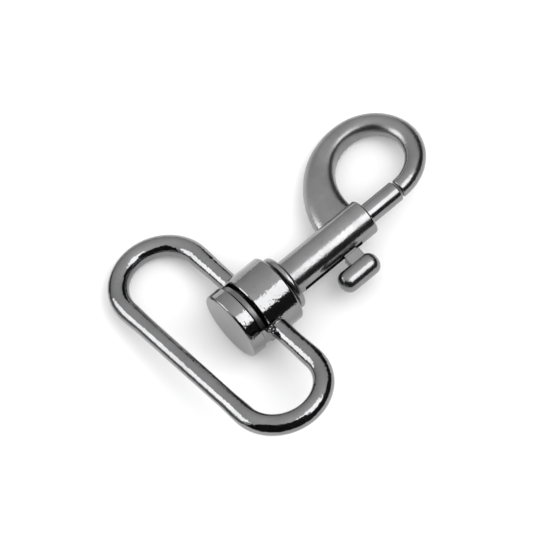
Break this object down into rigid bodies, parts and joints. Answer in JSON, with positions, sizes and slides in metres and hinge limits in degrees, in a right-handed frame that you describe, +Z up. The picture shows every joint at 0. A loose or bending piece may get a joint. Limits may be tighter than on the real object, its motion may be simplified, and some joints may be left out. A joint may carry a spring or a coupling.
{
  "type": "swivel bolt snap hook",
  "caption": "Swivel snap hook: an oblong strap loop turns on a round hub behind a barrel, and a sprung sliding bolt with a thumb stud closes the hook's round eye.",
  "frame": {"origin": "on the table, below the middle of the part as it lies at rest", "axes": "+X from the strap loop towards the hook, +Y to the side that the hook's eye is on, +Z up from the table; the swivel axis dips slightly from the hub to the eye, and the hook leans over to the eye's side"},
  "size_m": [0.0554, 0.046, 0.0127],
  "materials": {
    "black_nickel": "bright dark grey nickel plate on die-cast zinc",
    "spring_steel": "plain drawn spring wire"
  },
  "bodies": {
    "hook": {"hook_body": "black_nickel", "swivel_rivet": "black_nickel", "spring": "spring_steel"},
    "loop": {"strap_loop": "black_nickel"},
    "bolt": {"bolt": "black_nickel", "thumb_stud": "black_nickel"}
  },
  "joints": [
    {"name": "swivel", "type": "hinge", "parent": "hook", "child": "loop", "pos_m": [-0.01675, 0, 0.00629], "axis": [0.9994, 0, -0.0351], "continuous": true},
    {"name": "bolt_slide", "type": "slide", "parent": "hook", "child": "bolt", "axis": [-0.9994, 0, 0.0351], "range_m": [0, 0.0064], "stiffness_N_per_m": 300, "springref_m": -0.003, "deforming": ["spring"]}
  ]
}
